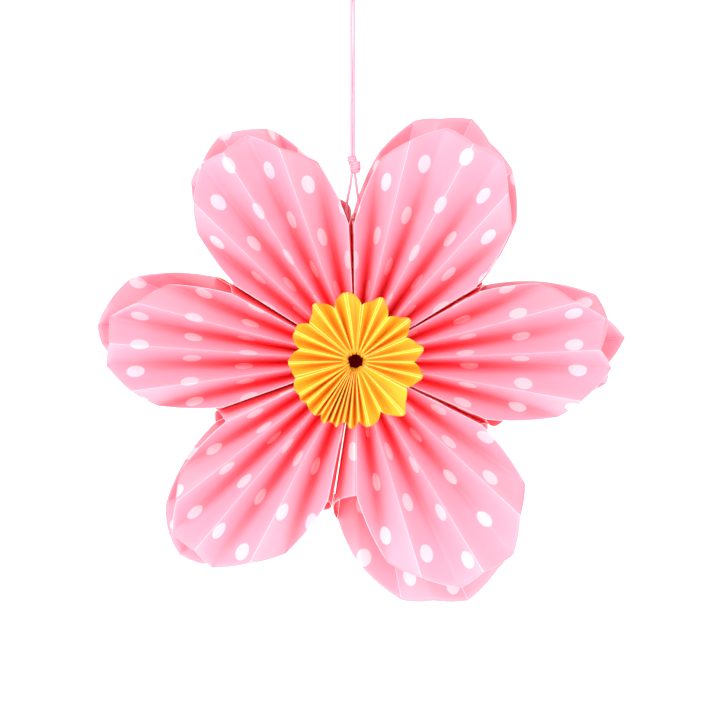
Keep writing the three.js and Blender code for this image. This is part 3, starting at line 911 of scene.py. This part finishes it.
# The routes of the cords, in mm.
LOOP_ROUTE = [
    (-0.6, 0, -21), (-1.6, 0, -17), (-3.1, 0, -12.5), (-4, 0, -7), (-3.8, 0, -3), (-2.2, 0, -0.2),
    (0, 0, 0.75), (2.2, 0, -0.2), (3.8, 0, -3), (4, 0, -7), (3.1, 0, -12.5), (1.6, 0, -17),
    (0.6, 0, -21),
]
LEFT_STRAND_ROUTE = [
    (-0.6, 0, -24.5), (-0.8, -0.1, -30), (-0.9, -0.2, -45), (-0.75, 0, -70), (-0.8, 0.1, -95),
    (-0.72, 0, -112), (-0.6, 0, -120),
]
RIGHT_STRAND_ROUTE = [
    (0.6, 0, -24.5), (0.8, 0.1, -30), (0.9, 0.2, -45), (0.75, 0, -70), (0.8, -0.1, -95),
    (0.72, 0, -112), (0.6, 0, -120),
]
CARRYING_ROUTE = [
    (-0.4, 0, -126.5), (-1.0, 0, -132.5), (-1.9, 0, -137.5), (-2.8, 0, -142), (-3.5, 0, -147),
    (-3.7, 0, -151), (-2.9, 0, HOLE_Z + 1.3), (-0.6, 0, HOLE_Z), (1.7, 0, HOLE_Z + 1.3),
    (2.9, 0, -151), (3.3, 0, -147), (3.0, 0, -142), (2.4, 0, -137.5), (1.8, 0, -132.5),
    (0.9, 0, -126.5),
]


SAMPLES_PER_SPAN = 60
CURVE_STEP = 0.25  # in mm
FEWEST_POINTS = 12


def curve_through(route):
    """Evenly spaced points, in metres, on a centripetal Catmull-Rom curve through a route in
    millimetres."""
    points = np.array(route, float)
    points = np.vstack([2 * points[0] - points[1], points, 2 * points[-1] - points[-2]])
    samples = []
    for p0, p1, p2, p3 in zip(points, points[1:], points[2:], points[3:]):
        spans = ((p0, p1), (p1, p2), (p2, p3))
        knots = np.cumsum([0, *(np.linalg.norm(b - a) ** 0.5 for a, b in spans)])
        t = np.linspace(knots[1], knots[2], SAMPLES_PER_SPAN, endpoint=False)[:, None]
        t0, t1, t2, t3 = knots
        a1 = (t1 - t) / (t1 - t0) * p0 + (t - t0) / (t1 - t0) * p1
        a2 = (t2 - t) / (t2 - t1) * p1 + (t - t1) / (t2 - t1) * p2
        a3 = (t3 - t) / (t3 - t2) * p2 + (t - t2) / (t3 - t2) * p3
        b1 = (t2 - t) / (t2 - t0) * a1 + (t - t0) / (t2 - t0) * a2
        b2 = (t3 - t) / (t3 - t1) * a2 + (t - t1) / (t3 - t1) * a3
        samples.append((t2 - t) / (t2 - t1) * b1 + (t - t1) / (t2 - t1) * b2)
    samples.append(points[-2][None])
    curve = np.concatenate(samples)
    length = np.r_[0, np.cumsum(np.linalg.norm(np.diff(curve, axis=0), axis=1))]
    even = np.linspace(0, length[-1], max(FEWEST_POINTS, int(length[-1] / CURVE_STEP)))
    return np.stack([np.interp(even, length, curve[:, k]) for k in range(3)], axis=1) * MM


PLIES = 3
PLY_TURN = 4.2 * MM  # the length in which the plies go round once
PLY_DEPTH = 0.05  # how far the lobes stand out, as a share of the radius
TAPER_LENGTH = 0.7  # of a tapered end, in diameters
TAPER_TIP = 0.15  # how thick it still is at the tip
CORD_SIDES = 24


def cord_mesh(name, path, material, diameter=CORD, taper=False):
    """A laid cord along a path: a tube whose section has one lobe for each ply and turns as it
    goes, so that the plies wind round each other. Its ends are round if it tapers."""
    tangent = np.gradient(path, axis=0)
    tangent /= np.linalg.norm(tangent, axis=1, keepdims=True)
    side = np.cross(tangent[0], (0.0, 1.0, 0.0))
    if np.linalg.norm(side) < 0.3:
        side = np.cross(tangent[0], (1.0, 0.0, 0.0))
    length = np.r_[0, np.cumsum(np.linalg.norm(np.diff(path, axis=0), axis=1))]
    around = np.linspace(0, 2 * np.pi, CORD_SIDES, endpoint=False)
    rings, lay = [], []
    for k, (point, forward) in enumerate(zip(path, tangent)):
        side = side - forward * (side @ forward)
        side /= np.linalg.norm(side)
        up = np.cross(forward, side)
        twist = 2 * np.pi * length[k] / PLY_TURN
        lobes = 1 + PLY_DEPTH * np.cos(PLIES * (around - twist))
        ends = min(length[k], length[-1] - length[k]) / (TAPER_LENGTH * diameter)
        round_end = math.sqrt(max(0.0, 1 - (1 - min(1.0, ends)) ** 2)) if taper else 1.0
        radius = diameter / 2 * lobes * max(TAPER_TIP, round_end)
        ring = np.outer(radius * np.cos(around), side) + np.outer(radius * np.sin(around), up)
        rings.append(point + ring)
        lay.append(np.stack([np.full(CORD_SIDES, length[k]), diameter * np.sin(around - twist)], 1))
    vertices = np.concatenate(rings)
    number = np.arange(len(vertices)).reshape(-1, CORD_SIDES)
    following = np.roll(number, -1, axis=1)
    faces = np.stack([number[:-1], following[:-1], following[1:], number[1:]], axis=-1).reshape(-1, 4)
    faces = [tuple(f) for f in faces] + [tuple(number[0][::-1]), tuple(number[-1])]
    piece = add_piece(name, vertices, faces, [material], uvs={"lay": np.concatenate(lay)})
    fix_normals(piece)
    return piece


def declare_cord(name, route, body, node, material):
    """One of the string's cords, attached to its body in place of its CAD node."""
    path = curve_through(route)
    piece = cord_mesh(name, path, material)
    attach(piece, body)
    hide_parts(node)


STEPS_PER_WRAP = 8
WRAP_PITCH = 1.5  # from one wrap of a knot to the next, in mm
LOWER_FROM = 0.35  # the share of the wraps after which a knot's lower ones begin,
LOWER_WITHIN = 0.3  # and the share in which it changes over to them
LOWER_WIDER = 0.15  # how much wider they are


def knot_route(centre, radius, turns, shift, lean, lobe):
    """An overhand knot's cord, in mm: close wraps round the strands. The lower ones step sideways
    and lean over, and the end makes a lobe that tucks back in under them."""
    route = []
    steps = STEPS_PER_WRAP * turns
    for step in range(steps + 1):
        turn = 2 * math.pi * step / STEPS_PER_WRAP
        share = step / steps
        low = smooth((share - LOWER_FROM) / LOWER_WITHIN)
        across = radius * (1 + LOWER_WIDER * low) * math.cos(turn)
        lift = WRAP_PITCH * turns * (0.5 - share) + lean * low * across
        route.append((lerp(shift[0], shift[1], low) + across, radius * math.sin(turn), centre + lift))
    route += [(shift[1] + x, y, centre + z) for x, y, z in lobe]
    return route


LOWER_LOBE = [
    (2.1, 0.6, -3.6), (1.9, -0.9, -4.6), (0.6, -1.7, -5.2), (-0.9, -1.5, -4.8), (-1.5, -0.3, -4.0),
    (-0.9, 0.7, -3.0), (0.2, 0.5, -2.2),
]
TOP_LOBE = [
    (1.9, 0.9, -1.2), (2.3, -0.3, -1.9), (1.9, -1.2, -2.5), (0.7, -1.3, -2.6), (0.1, -0.8, -1.7),
    (0.3, 0.3, -1.0),
]


def make_knot(name, route, body, node, material):
    piece = cord_mesh(name, curve_through(route), material, KNOT_CORD, taper=True)
    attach(piece, body)
    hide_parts(node)
    return piece


def make_string(material):
    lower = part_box("lower_knot")
    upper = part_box("top_knot")
    lower_centre = (lower[0].z + lower[1].z) / 2 / MM
    upper_centre = (upper[0].z + upper[1].z) / 2 / MM
    top_route = knot_route(
        centre=upper_centre + 0.6, radius=1.7, turns=2, shift=(0, 0), lean=0.2, lobe=TOP_LOBE
    )
    lower_route = knot_route(
        centre=lower_centre + 0.9, radius=1.95, turns=5, shift=(-0.4, 1.5), lean=0.5, lobe=LOWER_LOBE
    )
    top_knot = make_knot("top_knot_cord", top_route, "top_knot", "top_knot", material)
    lower_knot = make_knot("lower_knot_cord", lower_route, "carrier", "lower_knot", material)
    declare_cord("hanging_loop_cord", LOOP_ROUTE, "hanger", "hanging_loop", material)
    declare_cord("left_strand_cord", LEFT_STRAND_ROUTE, "string", "left_strand", material)
    declare_cord("right_strand_cord", RIGHT_STRAND_ROUTE, "string", "right_strand", material)
    declare_cord(
        "carrying_loop_cord", CARRYING_ROUTE, "carrier", "carrying_loop", material
    )


# --- Studio -----------------------------------------------------------------------------------
FLOOR_DROP = 0.62  # of the floor below the hook
SWEEP_NEAR = -6.0
SWEEP_FAR = 4.2
SWEEP_HEIGHT = 5.0
SWEEP_HALF_WIDTH = 7.0
SWEEP_BEND = 0.8  # the radius of the curve between floor and backdrop
BEND_STEPS = 12
WORLD_LIGHT = 0.72


def stage_material(name, color, glow):
    material = bpy.data.materials.new(name)
    material.use_nodes = True
    shader = material.node_tree.nodes["Principled BSDF"]
    shader.inputs["Base Color"].default_value = color
    shader.inputs["Roughness"].default_value = 0.9
    shader.inputs["Emission Color"].default_value = (1, 1, 1, 1)
    shader.inputs["Emission Strength"].default_value = glow
    return material


def make_sweep():
    """A pale floor that curves up into a backdrop behind the flower."""
    low = -FLOOR_DROP
    bend_start = SWEEP_FAR - SWEEP_BEND
    profile = [(SWEEP_NEAR, low), (bend_start, low)]
    for step in range(1, BEND_STEPS + 1):
        turn = math.radians(90 * step / BEND_STEPS)
        y = bend_start + SWEEP_BEND * math.sin(turn)
        profile.append((y, low + SWEEP_BEND * (1 - math.cos(turn))))
    profile.append((SWEEP_FAR, SWEEP_HEIGHT))
    vertices = [(x, y, z) for y, z in profile for x in (-SWEEP_HALF_WIDTH, SWEEP_HALF_WIDTH)]
    faces = [(2 * k, 2 * k + 1, 2 * k + 3, 2 * k + 2) for k in range(len(profile) - 1)]
    white = stage_material("sweep_white", (0.9, 0.9, 0.9, 1), 0.6)
    sweep = add_piece("sweep", vertices, faces, [white])


def add_light(name, location, target, size, power):
    data = bpy.data.lights.new(name, "AREA")
    data.shape = "DISK"
    data.size = size
    data.energy = power
    light = bpy.data.objects.new(name, data)
    light.location = location
    direction = Vector(target) - Vector(location)
    light.rotation_euler = direction.to_track_quat("-Z", "Y").to_euler()
    bpy.context.collection.objects.link(light)


def make_studio():
    scene = bpy.context.scene
    scene.view_settings.view_transform = "Standard"
    scene.view_settings.look = "None"
    scene.cycles.diffuse_bounces = 16  # deep pleats are lit by light that has crossed them often
    scene.cycles.max_bounces = 20
    world = bpy.data.worlds.new("studio")
    scene.world = world
    world.use_nodes = True
    background = world.node_tree.nodes["Background"]
    background.inputs["Color"].default_value = (1, 1, 1, 1)
    background.inputs["Strength"].default_value = WORLD_LIGHT
    target = (HUB.x, 0, HUB.z)
    add_light("key", (-0.9, -1.6, 0.6), target, size=0.9, power=20)
    add_light("fill", (1.2, -1.4, -0.1), target, size=1.0, power=6)
    make_sweep()


# --- Scene ------------------------------------------------------------------------------------
make_camera()
make_string(string_fibre())
make_petals(dotted_paper(), paper_core())
make_rosette(yellow_paper())
hub_core(hub_paper("hub_paper", HUB_OUTSIDE), hub_paper("hub_inside", HUB_INSIDE))
closure_tab(tab_paper())
make_studio()
